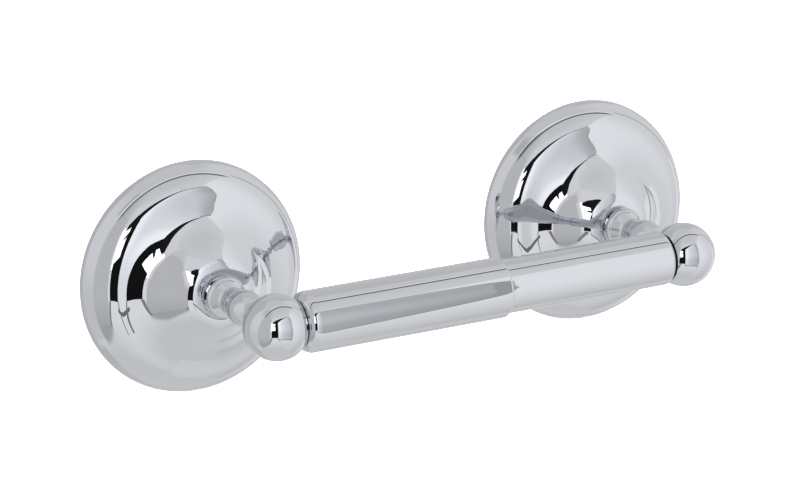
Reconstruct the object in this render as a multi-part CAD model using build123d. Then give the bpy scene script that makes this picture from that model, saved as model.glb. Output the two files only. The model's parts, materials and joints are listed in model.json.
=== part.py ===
from build123d import *
import math
import os

# Two-post toilet paper holder for a wall, with a telescoping spring roller.
#
# Frame: the origin is on the wall, midway between the two flange centres. +X runs to the right
# along the roller, +Z is up and the wall is the plane y = 0, so the holder stands out towards -Y.
# On the posts and flanges, a height is a distance from the wall (-Y) and a radius is taken from
# the post's axis. On the roller, a radius is taken from the roller's axis.

# ---------------------------------------------------------------- driving dimensions, mm
POST_SPACING = 158.0  # between the two flange centres
PROJECTION = 69.0  # wall to the roller's axis

# flange: a hollow bell whose steep rounded rim runs into a step, a cove and a domed top
RIM_R = 41.5
EDGE_H = 1.0  # height of the rim's nearly upright edge
# points of the bell's outer surface: radius, height and, where the wall behind follows, slope
SHOULDER = (40.7, 3.3)
STEP_FOOT = (39.6, 5.4, 62)
STEP_TOP = (31.2, 12.0, 16)
FLANK = (19.2, 19.3, 46)
CROWN = (12.4, 25.2)
TOP_R = 8.0
TOP_H = 26.6
WALL_T = 2.2  # thickness of the casting
CEILING_H = 22.0  # flat seat inside the bell for the washers
CEILING_R = 12.6

# post: seat, two beads and a ball
SEAT_R = 6.0
SEAT_H = 25.2
TENON = 7.2  # side of the square tenon that stops the post turning
TENON_H = 1.1
BEAD_A_R = 7.3
BEAD_B_R = 6.2
BALL_R = 11.3
BALL_FLAT = 7.5  # ball's centre to the flat that faces the roller
SOCKET_R = 4.58
SOCKET_DEPTH = 6.0

# machine screw that holds the post, with its washers
SCREW_R = 2.45
SCREW_HOLE_R = 2.5
SCREW_LENGTH = 12.0
SCREW_HOLE_DEPTH = 8.0  # beyond the post's seat
HEAD_R = 4.6
HEAD_H = 3.2
FLAT_WASHER_T = 1.0
LOCK_WASHER_T = 1.2

# wall bracket and the set screw that locks the flange on it
PLATE_T = 1.6
PLATE_W = 24.0
PLATE_HALF = 26.6  # half the plate's height
TAB_W = 14.0
TAB_H = 4.2  # how far the tabs reach from the wall
TAB_LEAN = 0.5  # outward lean per millimetre of reach
WALL_HOLE_R = 2.4
WALL_HOLE_Z = 16.0  # each wall screw above or below the centre
SET_SCREW_R = 1.45
SET_SCREW_HOLE_R = 1.5
SET_SCREW_LENGTH = 12.0
SET_SCREW_H = 2.5  # its axis from the wall
LUG_H = 10.3  # height to which the flange's cast hook and boss follow its inner surface
HOOK_W = 12.0
BOSS_W = 9.0

# roller
SLEEVE_R = 10.5
SLEEVE_T = 0.6
MOUTH_X = 5.3  # open end of the outer sleeve
MOUTH_BORE_R = 9.48
INNER_SLEEVE_R = 9.4
SLEEVE_END_X = 71.0  # both closed ends of the roller
NUB_R = 4.5
NUB_LENGTH = 6.2
NUB_HOLE_R = 4.6
BUSH_X = -18.0  # left face of the guide bush
BUSH_COLLAR = 5.0
SPRING_SEAT_X = -63.0  # face of the left tip that the spring pushes on
WIRE_D = 0.9
COIL_R = 6.9  # mean radius of the spring
SPRING_TURNS = 11

SIDES = {"left": -1, "right": 1}
OVER = 1.0  # how far cutters run past a surface


# ---------------------------------------------------------------- helpers
def outline(start, *steps):
    """Closed face through the steps: (x, y) is a straight edge and (x, y, s) an arc of sagitta s."""
    edges = []
    here = start
    for step in steps:
        there = step[:2]
        if len(step) == 3:
            edges.append(SagittaArc(here, there, step[2]))
        else:
            edges.append(Line(here, there))
        here = there
    edges.append(Line(here, start))
    return make_face(edges)


def on_post(start, *steps):
    """Solid turned about the post's axis, from (radius, height) points."""
    flip = [(r, -h, *s) for r, h, *s in (start, *steps)]
    return revolve(outline(*flip), Axis.Y)


def on_roller(start, *steps):
    """Solid turned about the roller's axis, from (x, radius) points."""
    return Pos(0, -PROJECTION, 0) * revolve(outline(start, *steps), Axis.X)


def post_cylinder(radius, low, high):
    """Cylinder on the post's axis between two heights."""
    return on_post((0, low), (radius, low), (radius, high), (0, high))


def upright(radius, x, height, z_low, z_high):
    """Cylinder parallel to Z, centred at x and at a height from the wall."""
    bottom = Plane(origin=(x, -height, z_low), z_dir=(0, 0, 1))
    return extrude(bottom * Circle(radius), z_high - z_low)


def side_view(points, width):
    """Prism across X, centred on x = 0, from (z, height) points."""
    corners = [(-h, z) for z, h in points]
    face = Plane.YZ * make_face(Polyline(*corners, close=True))
    return extrude(face, width / 2, both=True)


# ---------------------------------------------------------------- wall bracket
def tab_face_z(height):
    """Distance of a tab's outer face from the centre, at a height from the wall."""
    return PLATE_HALF + TAB_LEAN * (height - PLATE_T)


def bracket():
    plate = extrude(Plane.XZ * RectangleRounded(PLATE_W, 2 * PLATE_HALF, 3.0), PLATE_T)
    for up in (1, -1):
        tab = [
            (up * (PLATE_HALF - PLATE_T), 0),
            (up * tab_face_z(PLATE_T), 0),
            (up * tab_face_z(PLATE_T), PLATE_T),
            (up * tab_face_z(TAB_H), TAB_H),
            (up * (tab_face_z(TAB_H) - PLATE_T), TAB_H),
            (up * (tab_face_z(PLATE_T) - PLATE_T), PLATE_T),
        ]
        plate += side_view(tab, TAB_W)
        hole = Plane.XZ.offset(-OVER) * Pos(0, up * WALL_HOLE_Z) * Circle(WALL_HOLE_R)
        plate -= extrude(hole, PLATE_T + 2 * OVER)
    return plate


# ---------------------------------------------------------------- flange
def inside(radius, height, slope):
    """Point of the bell's inner surface behind a point of its outer surface."""
    lean = math.radians(slope)
    return (radius - WALL_T * math.sin(lean), height - WALL_T * math.cos(lean))


def flange():
    shell = on_post(
        (RIM_R, 0),
        (RIM_R - 0.1, EDGE_H),
        (*SHOULDER, 0.12),
        STEP_FOOT[:2],
        (*STEP_TOP[:2], 1.08),
        (*FLANK[:2], -0.93),
        (*CROWN, 0.21),
        (TOP_R, TOP_H, 0.33),
        (SEAT_R + 0.1, TOP_H),
        (SEAT_R + 0.1, SEAT_H),
        (SCREW_HOLE_R + 0.25, SEAT_H),
        (SCREW_HOLE_R + 0.25, CEILING_H),
        (CEILING_R, CEILING_H),
        (*inside(*FLANK), -0.1),
        (*inside(*STEP_TOP), 1.03),
        (*inside(*STEP_FOOT), -0.85),
        (RIM_R - WALL_T, EDGE_H),
        (RIM_R - WALL_T, 0),
    )
    # square recess for the post's tenon
    recess = TENON + 0.2
    depth = TENON_H + 0.1
    shell -= Pos(0, -(SEAT_H - depth / 2), 0) * Box(recess, depth, recess)

    # cast lug that hooks behind the bracket's upper tab
    gap = 0.15
    reach = RIM_R - WALL_T + 0.4
    hook_floor = 6.0
    hook = [
        (PLATE_HALF + gap, 0.4),
        (reach, 0.4),
        (reach, 2.6),
        (38.0, 5.0),
        (34.0, 8.8),
        (31.0, LUG_H),
        (tab_face_z(hook_floor) + gap, LUG_H),
        (tab_face_z(hook_floor) + gap, hook_floor),
        (PLATE_HALF + gap, PLATE_T),
    ]
    # cast boss that carries the set screw
    boss = [(-31.0, 0.5), (-reach, 0.5), (-reach, 2.6), (-38.0, 5.0), (-34.0, 8.8), (-31.0, LUG_H)]
    shell += side_view(hook, HOOK_W)
    shell += side_view(boss, BOSS_W)
    shell -= upright(SET_SCREW_HOLE_R, 0, SET_SCREW_H, -RIM_R - OVER, -PLATE_HALF - OVER)
    return shell


def set_screw():
    """Hex-socket set screw with a blunt cone point that bears on the bracket's lower tab."""
    point = 0.8
    tip = -tab_face_z(SET_SCREW_H + SET_SCREW_R - point) - 0.05
    tail = tip - SET_SCREW_LENGTH
    body = Pos(0, -SET_SCREW_H, (tip + tail) / 2) * Cylinder(SET_SCREW_R, SET_SCREW_LENGTH)
    body = chamfer(body.edges().group_by(Axis.Z)[-1], point)
    body = chamfer(body.edges().group_by(Axis.Z)[0], 0.25)
    socket = Plane(origin=(0, -SET_SCREW_H, tail), z_dir=(0, 0, 1)) * RegularPolygon(0.87, 6)
    return body - extrude(socket, 1.8)


# ---------------------------------------------------------------- post and its screw
def post(toward_roller):
    """Turned arm with two beads and a ball; toward_roller is the X sign that its flat faces."""
    neck_r = 4.4
    ball_low = PROJECTION - math.sqrt(BALL_R**2 - neck_r**2)
    arm = on_post(
        (0, SEAT_H),
        (SEAT_R, SEAT_H),
        (SEAT_R, TOP_H + 0.25),
        (BEAD_A_R, TOP_H + 1.1, 0.3),
        (BEAD_A_R, 29.2),
        (6.1, 32.0, 0.3),
        (4.8, 33.4),
        (4.9, 38.0, -0.55),
        (BEAD_B_R, 44.0, 0.25),
        (4.3, 51.3, 0.45),
        (neck_r, ball_low, -0.6),
        (0, ball_low),
    )
    ball = Pos(0, -PROJECTION, 0) * Sphere(BALL_R)
    arm = Rot(0, 90, 0) * (arm + ball)
    arm += Pos(0, -(SEAT_H - TENON_H / 2), 0) * Box(TENON, TENON_H, TENON)
    arm -= screw_hole()

    # flat and socket on the side of the ball that faces the roller
    beyond = 2 * BALL_R
    centre = (toward_roller * (BALL_FLAT + beyond / 2), -PROJECTION, 0)
    arm -= Pos(*centre) * Box(beyond, beyond, beyond)
    mouth = Plane(origin=(toward_roller * BALL_FLAT, -PROJECTION, 0), z_dir=(-toward_roller, 0, 0))
    arm -= extrude(mouth * Circle(SOCKET_R), SOCKET_DEPTH)
    return arm


def screw_hole():
    """Blind threaded hole up the post, with the drill's cone at its end."""
    start = SEAT_H - TENON_H - OVER
    end = SEAT_H + SCREW_HOLE_DEPTH
    cone = SCREW_HOLE_R * math.tan(math.radians(31))
    return on_post((0, start), (SCREW_HOLE_R, start), (SCREW_HOLE_R, end), (0, end + cone))


def post_screw():
    """Pan-head screw with a cross recess; its head faces the wall."""
    under_head = CEILING_H - FLAT_WASHER_T - LOCK_WASHER_T
    top = under_head - HEAD_H
    screw = on_post(
        (0, top),
        (2.4, top),
        (HEAD_R, under_head - 1.1, 0.45),
        (HEAD_R, under_head),
        (SCREW_R, under_head),
        (SCREW_R, under_head + SCREW_LENGTH - 0.6),
        (SCREW_R - 0.6, under_head + SCREW_LENGTH),
        (0, under_head + SCREW_LENGTH),
    )
    for length, width in ((4.4, 1.0), (1.0, 4.4)):
        blade = Plane.XZ.offset(top - OVER) * Rectangle(length, width)
        screw -= extrude(blade, OVER + 1.9)
    return screw


def flat_washer():
    ring = post_cylinder(5.0, CEILING_H - FLAT_WASHER_T, CEILING_H)
    return ring - post_cylinder(SCREW_R + 0.25, CEILING_H - FLAT_WASHER_T - OVER, CEILING_H + OVER)


def lock_washer():
    """Split spring washer; the slit slants across its right side."""
    high = CEILING_H - FLAT_WASHER_T
    low = high - LOCK_WASHER_T
    ring = post_cylinder(4.4, low, high) - post_cylinder(SCREW_R + 0.15, low - OVER, high + OVER)
    slit = Pos(3.6, -(low + high) / 2, 0) * Rot(20, 0, 0) * Box(3.0, 3 * LOCK_WASHER_T, 0.6)
    return ring - slit


# ---------------------------------------------------------------- roller
def outer_sleeve():
    """Large tube: closed and rounded at the left end, rolled in at its mouth."""
    end = -SLEEVE_END_X
    bore = SLEEVE_R - SLEEVE_T
    return on_roller(
        (end, NUB_HOLE_R),
        (end, 8.2),
        (end + 3.7, SLEEVE_R, 0.62),
        (MOUTH_X - 1.0, SLEEVE_R),
        (MOUTH_X, MOUTH_BORE_R + 0.15, 0.25),
        (MOUTH_X - 0.25, MOUTH_BORE_R),
        (MOUTH_X - 1.3, MOUTH_BORE_R),
        (MOUTH_X - 1.7, bore),
        (end + 3.9, bore),
        (end + SLEEVE_T, 7.9, -0.6),
        (end + SLEEVE_T, NUB_HOLE_R),
    )


def inner_sleeve():
    """Small tube: open at the left inside the outer sleeve, closed and rounded at the right."""
    end = SLEEVE_END_X
    bore = INNER_SLEEVE_R - SLEEVE_T
    start = BUSH_X + BUSH_COLLAR
    return on_roller(
        (start, bore),
        (start, INNER_SLEEVE_R),
        (end - 2.0, INNER_SLEEVE_R),
        (end, 7.6, 0.5),
        (end, NUB_HOLE_R),
        (end - SLEEVE_T, NUB_HOLE_R),
        (end - SLEEVE_T, 7.4),
        (end - 2.1, bore, -0.4),
    )


def tip(sleeve_bore, shoulder_r, toward, length, spigot):
    """Plug with a nub; it stands in a sleeve's closed end and its nub turns in a ball's socket."""
    face = SLEEVE_END_X - SLEEVE_T
    corner = 3.4 if toward < 0 else 1.6
    body_r = sleeve_bore - 0.05
    plug = [
        (face - length - spigot, 0),
        (face - length - spigot, 5.6),
        (face - length - spigot + 0.5, 6.1),
        (face - length, 6.1),
        (face - length, body_r),
        (face - corner, body_r),
        (face, shoulder_r),
        (face, NUB_R),
        (SLEEVE_END_X + NUB_LENGTH - 0.8, NUB_R),
        (SLEEVE_END_X + NUB_LENGTH, NUB_R - 0.8),
        (SLEEVE_END_X + NUB_LENGTH, 0),
    ]
    return on_roller(*[(toward * x, r) for x, r in plug])


def guide_bush():
    """Collar on the inner sleeve's hidden end; it runs in the outer sleeve's bore."""
    collar_r = SLEEVE_R - SLEEVE_T - 0.08
    spigot_r = INNER_SLEEVE_R - SLEEVE_T - 0.05
    collar_end = BUSH_X + BUSH_COLLAR - 0.1
    return on_roller(
        (BUSH_X, 5.0),
        (BUSH_X, collar_r - 0.5),
        (BUSH_X + 0.5, collar_r),
        (collar_end, collar_r),
        (collar_end, spigot_r),
        (collar_end + 7.0, spigot_r),
        (collar_end + 7.0, 5.0),
    )


def spring():
    """Compression spring between the left tip and the guide bush."""
    low = SPRING_SEAT_X + WIRE_D / 2
    high = BUSH_X - WIRE_D / 2
    pitch = (high - low) / SPRING_TURNS
    coil = Helix(pitch=pitch, height=high - low, radius=COIL_R, direction=(1, 0, 0))
    coil = Pos(low, -PROJECTION, 0) * coil
    wire = Plane(origin=coil @ 0, z_dir=coil % 0) * Circle(WIRE_D / 2)
    return sweep(wire, path=coil, is_frenet=True)


# ---------------------------------------------------------------- assembly
def main():
    nodes = {}
    for side, sign in SIDES.items():
        wall_pieces = {
            "bracket": bracket(),
            "flange": flange(),
            "set_screw": set_screw(),
            "post": post(-sign),
            "post_screw": post_screw(),
            "flat_washer": flat_washer(),
            "lock_washer": lock_washer(),
        }
        for name, shape in wall_pieces.items():
            nodes[f"{side}_{name}"] = Pos(sign * POST_SPACING / 2, 0, 0) * shape

    nodes["outer_sleeve"] = outer_sleeve()
    nodes["inner_sleeve"] = inner_sleeve()
    nodes["left_tip"] = tip(SLEEVE_R - SLEEVE_T, 7.7, -1, SLEEVE_END_X + SPRING_SEAT_X - SLEEVE_T, 4.0)
    nodes["right_tip"] = tip(INNER_SLEEVE_R - SLEEVE_T, 7.2, 1, 7.0, 4.0)
    nodes["guide_bush"] = guide_bush()
    nodes["spring"] = spring()

    os.makedirs("parts", exist_ok=True)
    for name, shape in nodes.items():
        export_step(shape, f"parts/{name}.step")


main()
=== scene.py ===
import json
import math

import bpy
from mathutils import Matrix, Vector


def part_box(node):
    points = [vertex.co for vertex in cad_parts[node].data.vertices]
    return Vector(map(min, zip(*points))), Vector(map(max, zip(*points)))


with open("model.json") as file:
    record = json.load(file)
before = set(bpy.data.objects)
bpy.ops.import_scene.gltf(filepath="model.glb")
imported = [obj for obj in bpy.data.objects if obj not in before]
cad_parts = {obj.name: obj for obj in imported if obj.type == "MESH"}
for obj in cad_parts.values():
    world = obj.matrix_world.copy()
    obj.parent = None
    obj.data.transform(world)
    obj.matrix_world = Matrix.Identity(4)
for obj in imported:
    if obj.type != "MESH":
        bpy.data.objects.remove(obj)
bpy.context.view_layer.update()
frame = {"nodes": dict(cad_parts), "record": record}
scene = bpy.context.scene


# ---------------------------------------------------------------- node helpers
def set_input(tree, socket, value):
    if isinstance(value, bpy.types.NodeSocket):
        tree.links.new(value, socket)
    else:
        socket.default_value = value


def math_node(tree, operation, *values):
    node = tree.nodes.new("ShaderNodeMath")
    node.operation = operation
    for socket, value in zip(node.inputs, values):
        set_input(tree, socket, value)
    return node.outputs[0]


def ramp(tree, value, low, high, out_low=0.0, out_high=1.0, smooth=True):
    node = tree.nodes.new("ShaderNodeMapRange")
    node.interpolation_type = "SMOOTHSTEP" if smooth else "LINEAR"
    set_input(tree, node.inputs["Value"], value)
    node.inputs["From Min"].default_value = low
    node.inputs["From Max"].default_value = high
    node.inputs["To Min"].default_value = out_low
    node.inputs["To Max"].default_value = out_high
    return node.outputs["Result"]


def blend(tree, factor, first, second):
    """Mix of two numbers. The Mix node's number sockets are 0, 2 and 3."""
    node = tree.nodes.new("ShaderNodeMix")
    node.data_type = "FLOAT"
    set_input(tree, node.inputs[0], factor)
    set_input(tree, node.inputs[2], first)
    set_input(tree, node.inputs[3], second)
    return node.outputs[0]


# ---------------------------------------------------------------- studio
def studio():
    """White room as a polished surface sees it. Shades are relative to the white background."""
    world = bpy.data.worlds.new("studio")
    scene.world = world
    world.use_nodes = True
    tree = world.node_tree
    tree.nodes.clear()
    coords = tree.nodes.new("ShaderNodeTexCoord")
    split = tree.nodes.new("ShaderNodeSeparateXYZ")
    tree.links.new(coords.outputs["Generated"], split.inputs[0])
    x, y, z = split.outputs
    front = math_node(tree, "MULTIPLY", y, -1.0)
    # bearing is 0 towards -Y and 90 towards +X; rise is the angle above the horizon
    bearing = math_node(tree, "MULTIPLY", math_node(tree, "ARCTAN2", x, front), 180 / math.pi)
    rise = math_node(tree, "MULTIPLY", math_node(tree, "ARCSINE", z), 180 / math.pi)

    def card(level, shade, corners, soft=1.0):
        """Covers level with shade inside a convex outline of (bearing, rise) corners."""
        mask = 1.0
        for (b0, r0), (b1, r1) in zip(corners, corners[1:] + corners[:1]):
            length = math.hypot(b1 - b0, r1 - r0)
            across, up = (r0 - r1) / length, (b1 - b0) / length
            depth = math_node(tree, "MULTIPLY", bearing, across)
            depth = math_node(tree, "ADD", depth, math_node(tree, "MULTIPLY", rise, up))
            offset = b0 * across + r0 * up
            mask = math_node(tree, "MULTIPLY", mask, ramp(tree, depth, offset - soft, offset + soft))
        return blend(tree, mask, level, shade)

    # ceiling, its darker left end, the floor and the space behind the left card
    level = ramp(tree, rise, 45, 72, 0.94, 0.84)
    ceiling_end = ramp(tree, bearing, -82, -26, 0.66, 0.90)
    level = card(level, ceiling_end, [(-100, 38), (-24, 38), (-24, 70), (-100, 70)], 3)
    level = card(level, 1.0, [(-44, 34), (14, 40), (14, 51), (-40, 51)], 3)
    near_floor = ramp(tree, rise, -62, -44, 0.85, 0.95)
    level = card(level, near_floor, [(-181, -95), (181, -95), (181, -44), (-181, -44)], 3)
    far_floor = ramp(tree, rise, -46, -26, 0.97, 1.10)
    level = card(level, far_floor, [(-52, -47), (110, -47), (110, 0), (-44, 0)], 2)
    left_space = ramp(tree, rise, -20, 10, 0.82, 0.94)
    level = card(level, left_space, [(-181, -46), (-84, -46), (-80, 48), (-181, 48)], 2)
    # the room behind the holder, right and left of straight behind
    level = card(level, 0.75, [(124, -60), (181, -60), (181, 60), (124, 60)], 4)
    level = card(level, 0.70, [(-181, -60), (-124, -60), (-124, 60), (-181, 60)], 4)
    # left card: its soft lower edge, its face and its dark upper edge
    level = card(level, 0.56, [(-96, -50), (-80, -51), (-60, -45), (-48, -38), (-47, -20), (-90, -20)], 4)
    left = ramp(tree, rise, -42, -12, 0.60, 0.73)
    level = card(level, left, [(-94, -38), (-47, -34), (-45, 41), (-60, 46), (-82, 50)])
    upper_edge = [(-76, 47.6), (-60, 44.8), (-45, 39.8), (-45, 41.2), (-60, 46.2), (-76, 49)]
    level = card(level, 0.55, upper_edge, 0.6)
    # right card and the edge of the room beside it
    towards_right = ramp(tree, bearing, 34, 90, 1.19, 0.99)
    right = math_node(tree, "MULTIPLY", towards_right, ramp(tree, rise, -64, 4, 0.78, 1.0))
    right_outline = [(14, -64), (95, -64), (96, 47), (58, 49), (45, 46), (33, 40.5), (14, 28)]
    level = card(level, right, right_outline)
    level = card(level, 0.52, [(111, -18), (114, -18), (97, 42), (94, 42)], 0.8)
    # lamp bar above the set, with its bright upper side
    bar = math_node(tree, "ADD", front, math_node(tree, "MULTIPLY", x, 0.06))
    overhead = ramp(tree, z, 0.66, 0.76)
    gleam = math_node(tree, "MULTIPLY", ramp(tree, bar, -0.01, 0.01), ramp(tree, bar, 0.07, 0.055))
    level = blend(tree, math_node(tree, "MULTIPLY", gleam, overhead), level, 1.12)
    shadow = math_node(tree, "MULTIPLY", ramp(tree, bar, 0.045, 0.06), ramp(tree, bar, 0.145, 0.12))
    level = blend(tree, math_node(tree, "MULTIPLY", shadow, overhead), level, 0.22)
    # window with its paler left side, and the leg of the stand before it
    level = card(level, 1.0, [(-47, 2), (-42, 2), (-42, 30), (-47, 30)], 1.5)
    level = card(level, 2.6, [(-43, 2), (-15, 2), (-15, 31), (-43, 31)], 0.9)
    level = card(level, 0.30, [(-51.5, -36), (-48.5, -36), (-38, -18), (-43, -18)], 0.9)

    path = tree.nodes.new("ShaderNodeLightPath")
    level = blend(tree, path.outputs["Is Camera Ray"], level, 1.0)
    background = tree.nodes.new("ShaderNodeBackground")
    output = tree.nodes.new("ShaderNodeOutputWorld")
    set_input(tree, background.inputs["Strength"], level)
    background.inputs["Color"].default_value = (1, 1, 1, 1)
    tree.links.new(background.outputs[0], output.inputs[0])


SCREENS_YAW = math.radians(8)  # the screens' plane faces the holder from this much to the right of -Y
SCREENS_DISTANCE = 1.55  # metres from the frame's origin to that plane


def card_shade(tree):
    """Shade of the back card: brighter at its left, darker at its right and its foot."""
    coords = tree.nodes.new("ShaderNodeTexCoord")
    split = tree.nodes.new("ShaderNodeSeparateXYZ")
    tree.links.new(coords.outputs["Object"], split.inputs[0])
    x, y, up = split.outputs
    along_x = math_node(tree, "MULTIPLY", x, math.cos(SCREENS_YAW))
    along_y = math_node(tree, "MULTIPLY", y, math.sin(SCREENS_YAW))
    across = math_node(tree, "ADD", along_x, along_y)
    level = ramp(tree, across, -0.68, -0.36, 1.42, 1.14)
    level = math_node(tree, "MULTIPLY", level, ramp(tree, across, -0.42, 0.2, 1.0, 0.82))
    level = math_node(tree, "MULTIPLY", level, ramp(tree, across, 0.2, 0.62, 1.0, 0.66))
    level = math_node(tree, "MULTIPLY", level, ramp(tree, up, -0.3, 0.35, 0.80, 1.0))
    return math_node(tree, "MULTIPLY", level, ramp(tree, up, 0.85, 1.25, 1.0, 1.08))


def screen(name, corners, shade, nearer):
    """Upright panel in front of the set, seen only in reflections; corners are (across, up) in metres.
    A shade of None gives it the back card's own shading. nearer is how far it stands before the others."""
    sine, cosine = math.sin(SCREENS_YAW), math.cos(SCREENS_YAW)
    distance = SCREENS_DISTANCE - nearer
    mesh = bpy.data.meshes.new(name)
    points = [
        (across * cosine + distance * sine, across * sine - distance * cosine, up)
        for across, up in corners
    ]
    mesh.from_pydata(points, [], [tuple(range(len(points)))])
    panel = bpy.data.objects.new(name, mesh)
    scene.collection.objects.link(panel)
    material = bpy.data.materials.new(name)
    material.use_nodes = True
    tree = material.node_tree
    tree.nodes.clear()
    emission = tree.nodes.new("ShaderNodeEmission")
    output = tree.nodes.new("ShaderNodeOutputMaterial")
    tree.links.new(emission.outputs[0], output.inputs[0])
    emission.inputs["Strength"].default_value = 1.0
    if shade is None:
        set_input(tree, emission.inputs["Strength"], card_shade(tree))
        emission.inputs["Color"].default_value = (0.99, 0.995, 1.012, 1)
    else:
        emission.inputs["Color"].default_value = (shade, shade, shade, 1)
    mesh.materials.append(material)
    panel.visible_camera = False
    panel.visible_diffuse = False
    panel.visible_transmission = False
    panel.visible_shadow = False


def across_seen_at_mouth(up):
    """Where, at a height of up, the screens' plane is seen in the outer sleeve's mouth from the camera.
    A round bar leaves a sight line's part along its axis as it is, so the mouth shows a hyperbola."""
    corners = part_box("outer_sleeve")
    mouth_x = corners[1][0]
    axis_y, axis_z = ((corners[0][k] + corners[1][k]) / 2 for k in (1, 2))
    sight = Vector((mouth_x, axis_y, axis_z)) - scene.camera.matrix_world.translation
    slope = sight.x / math.hypot(sight.y, sight.z)  # along the bar, for each metre away from it
    sine, cosine = math.sin(SCREENS_YAW), math.cos(SCREENS_YAW)
    ahead = SCREENS_DISTANCE - mouth_x * sine + axis_y * cosine
    spread = cosine**2 - (slope * sine) ** 2
    away = (cosine * math.sqrt(ahead**2 + spread * (up - axis_z) ** 2) - ahead * slope * sine) / spread
    return (mouth_x + slope * away) / cosine - SCREENS_DISTANCE * math.tan(SCREENS_YAW)


def screens():
    """The back card with its dark edges, and the black stand at its left."""
    # the middle of the card's right edge is the curve seen in the outer sleeve's mouth
    bow = [(across_seen_at_mouth(up), up) for up in (0.0, 0.3, 0.5, 0.7, 1.0)]
    right_edge = [(0.485, -0.93), (0.505, -0.70), (0.535, -0.33)] + bow + [(0.73, 1.2), (0.74, 1.42)]
    left_edge = -0.95
    edge_width = 0.02
    screen("back_card", [(left_edge, -0.70), (0.2, -0.74)] + right_edge + [(left_edge, 1.42)], None, 0.0)
    inner = [(across - edge_width, up) for across, up in reversed(right_edge)]
    screen("back_card_edge", right_edge + inner, 0.50, 0.01)
    foot_below = [(left_edge, -0.76), (0.2, -0.78), (0.47, -0.96)]
    foot_above = [(0.47, -0.91), (0.2, -0.72), (left_edge, -0.69)]
    screen("back_card_foot", foot_below + foot_above, 0.22, 0.01)
    screen("back_card_head", [(0.36, 1.37), (0.72, 1.37), (0.73, 1.42), (0.36, 1.42)], 0.35, 0.01)
    screen("stand_post", [(-1.18, -0.56), (-0.86, -0.56), (-0.83, 1.1), (-1.20, 1.1)], 0.01, 0.02)
    screen("stand_clamp", [(-1.5, 0.72), (-1.1, 0.66), (-1.1, 0.84), (-1.42, 0.80)], 0.03, 0.02)
    base = [(-1.85, -0.74), (-1.3, -0.62), (-0.87, -0.56), (-0.87, 0.22), (-1.80, 0.22)]
    screen("stand_base", base, 0.01, 0.03)
    wedge = [
        (-1.68, 1.20), (-1.45, 1.07), (-1.16, 0.98), (-0.85, 0.98), (-0.77, 1.05), (-0.45, 1.20), (0.0, 1.35),
        (0.40, 1.41), (0.40, 1.43), (-0.1, 1.45), (-0.6, 1.48), (-1.2, 1.46), (-1.55, 1.38),
    ]
    screen("stand_arm", wedge, 0.015, 0.04)
    screen("stand_leg", [(-0.89, -0.55), (-0.84, -0.55), (-0.655, -1.09), (-0.695, -1.09)], 0.25, 0.02)


def area_light(name, location, aim, size, power):
    """Soft lamp that isn't seen itself, neither directly nor in the chrome."""
    height_share = 0.7
    data = bpy.data.lights.new(name, "AREA")
    data.shape = "RECTANGLE"
    data.size = size
    data.size_y = size * height_share
    data.energy = power
    lamp = bpy.data.objects.new(name, data)
    scene.collection.objects.link(lamp)
    lamp.location = location
    lamp.rotation_euler = (Vector(aim) - Vector(location)).to_track_quat("-Z", "Y").to_euler()
    lamp.visible_glossy = False
    lamp.visible_camera = False


def floor():
    mesh = bpy.data.meshes.new("floor")
    half = 30.0
    height = -1.2
    mesh.from_pydata(
        [(-half, -half, height), (half, -half, height), (half, half, height), (-half, half, height)],
        [],
        [(0, 1, 2, 3)],
    )
    plane = bpy.data.objects.new("floor", mesh)
    scene.collection.objects.link(plane)
    material = bpy.data.materials.new("floor_white")
    material.use_nodes = True
    shader = material.node_tree.nodes["Principled BSDF"]
    shader.inputs["Base Color"].default_value = (0.93, 0.93, 0.93, 1)
    shader.inputs["Roughness"].default_value = 0.9
    shader.inputs["Specular IOR Level"].default_value = 0.0
    mesh.materials.append(material)
    plane.visible_glossy = False


def camera():
    """The photograph's view: yaw towards +X, pitch down and a slight roll, in radians."""
    yaw, pitch, roll = 0.4768, 0.2823, -0.0255
    distance = 1.0707
    target = Vector((-0.01762, -0.040, 0.01161))
    forward = Vector(
        (math.sin(yaw) * math.cos(pitch), math.cos(yaw) * math.cos(pitch), -math.sin(pitch))
    )
    level_right = Vector((math.cos(yaw), -math.sin(yaw), 0))
    level_up = level_right.cross(forward)
    right = level_right * math.cos(roll) + level_up * math.sin(roll)
    up = level_up * math.cos(roll) - level_right * math.sin(roll)
    data = bpy.data.cameras.new("camera")
    data.lens = 140.12
    data.sensor_width = 36.0
    data.clip_end = 100
    holder = bpy.data.objects.new("camera", data)
    scene.collection.objects.link(holder)
    matrix = Matrix((right, up, -forward)).transposed().to_4x4()
    matrix.translation = target - forward * distance
    holder.matrix_world = matrix
    scene.camera = holder


# ---------------------------------------------------------------- materials
def new_material(name, metallic):
    material = bpy.data.materials.new(name)
    material.use_nodes = True
    tree = material.node_tree
    shader = tree.nodes["Principled BSDF"]
    shader.inputs["Metallic"].default_value = metallic
    return material, tree, shader


def noise(tree, scale, detail=3.0, stretch=None):
    """Noise in metres of the object's own space; scale is cells per metre."""
    coords = tree.nodes.new("ShaderNodeTexCoord")
    source = coords.outputs["Object"]
    if stretch:
        mapping = tree.nodes.new("ShaderNodeMapping")
        mapping.inputs["Scale"].default_value = stretch
        tree.links.new(source, mapping.inputs["Vector"])
        source = mapping.outputs["Vector"]
    node = tree.nodes.new("ShaderNodeTexNoise")
    node.inputs["Scale"].default_value = scale
    node.inputs["Detail"].default_value = detail
    tree.links.new(source, node.inputs["Vector"])
    return node.outputs["Fac"]


def tones(tree, factor, dark, light):
    """Mix of two colours. The Mix node's colour sockets are 6 and 7, and its colour result is 2."""
    node = tree.nodes.new("ShaderNodeMix")
    node.data_type = "RGBA"
    set_input(tree, node.inputs[0], factor)
    node.inputs[6].default_value = (*dark, 1)
    node.inputs[7].default_value = (*light, 1)
    return node.outputs[2]


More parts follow.
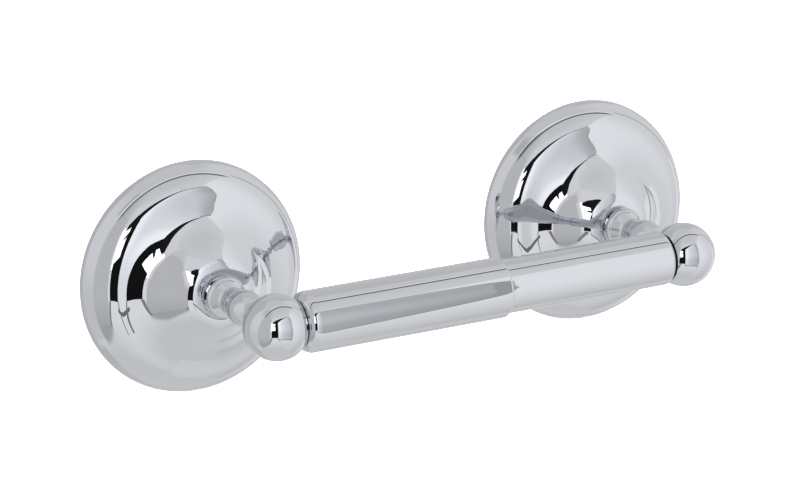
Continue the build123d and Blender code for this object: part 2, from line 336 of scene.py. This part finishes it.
def bump(tree, shader, height, strength, distance):
    node = tree.nodes.new("ShaderNodeBump")
    node.inputs["Strength"].default_value = strength
    node.inputs["Distance"].default_value = distance
    tree.links.new(height, node.inputs["Height"])
    tree.links.new(node.outputs["Normal"], shader.inputs["Normal"])


def chrome(name, stretch):
    """Polished plating with a faint haze and wipe marks, longest along the axes where stretch is 1."""
    material, tree, shader = new_material(name, 1.0)
    haze = noise(tree, 60, 4)
    wipe = noise(tree, 250, 3, stretch)
    smear = math_node(tree, "MULTIPLY", ramp(tree, haze, 0.45, 0.75), wipe)
    tint = tones(tree, haze, (0.578, 0.592, 0.624), (0.603, 0.617, 0.649))
    set_input(tree, shader.inputs["Base Color"], tint)
    set_input(tree, shader.inputs["Roughness"], ramp(tree, smear, 0.0, 0.6, 0.014, 0.055))
    bump(tree, shader, noise(tree, 180, 2), 0.012, 0.0001)
    return material


def plated(name, dark, light, rough, cells, stretch=None):
    """Dull metal with a spangle of cells per metre."""
    material, tree, shader = new_material(name, 1.0)
    spangle = noise(tree, cells, 5, stretch)
    set_input(tree, shader.inputs["Base Color"], tones(tree, ramp(tree, spangle, 0.3, 0.7), dark, light))
    gloss = ramp(tree, spangle, 0.3, 0.7, rough + 0.08, rough - 0.06)
    set_input(tree, shader.inputs["Roughness"], gloss)
    bump(tree, shader, noise(tree, cells * 4, 4, stretch), 0.2, 0.0001)
    return material


def plastic(name, dark, light, rough):
    """Moulded plastic with a slight cloud and a fine grain."""
    material, tree, shader = new_material(name, 0.0)
    cloud = noise(tree, 120, 4)
    set_input(tree, shader.inputs["Base Color"], tones(tree, ramp(tree, cloud, 0.3, 0.7), dark, light))
    gloss = ramp(tree, noise(tree, 700, 3), 0.3, 0.7, rough, rough + 0.12)
    set_input(tree, shader.inputs["Roughness"], gloss)
    bump(tree, shader, noise(tree, 1500, 3), 0.15, 0.0001)
    return material


def finishes():
    """One material for each material slot of the record."""
    steel_dark, steel_light = (0.36, 0.37, 0.39), (0.56, 0.57, 0.60)
    return {
        "flange_chrome": chrome("flange_chrome", (1, 3, 1)),
        "post_chrome": chrome("post_chrome", (3, 1, 3)),
        "sleeve_chrome": chrome("sleeve_chrome", (1, 4, 4)),
        "bracket_zinc": plated("bracket_zinc", (0.46, 0.48, 0.50), (0.64, 0.66, 0.68), 0.38, 350),
        "screw_zinc": plated("screw_zinc", (0.50, 0.49, 0.45), (0.68, 0.67, 0.63), 0.30, 700),
        "set_screw_steel": plated("set_screw_steel", (0.08, 0.08, 0.085), (0.20, 0.20, 0.21), 0.42, 900),
        "spring_steel": plated("spring_steel", steel_dark, steel_light, 0.26, 900, (0.2, 1, 1)),
        "tip_nylon": plastic("tip_nylon", (0.74, 0.72, 0.66), (0.84, 0.82, 0.77), 0.32),
        "bush_acetal": plastic("bush_acetal", (0.76, 0.76, 0.74), (0.85, 0.85, 0.83), 0.42),
    }


def dress():
    """Gives each CAD node the material of its slot in the record."""
    materials = finishes()
    for part in frame["record"]["subparts"]:
        node = frame["nodes"][part["node"]]
        node.data.materials.clear()
        node.data.materials.append(materials[part["material_slot"]])


camera()
studio()
screens()
area_light("key", (-1.1, -1.6, 1.9), (0, 0, 0), 1.6, 40)
area_light("fill", (1.6, -1.4, 1.0), (0, 0, 0), 1.4, 22)
area_light("top", (0, 4.0, 5.0), (0, 6, -1.2), 8.0, 1500)
floor()
dress()
scene.view_settings.view_transform = "Standard"
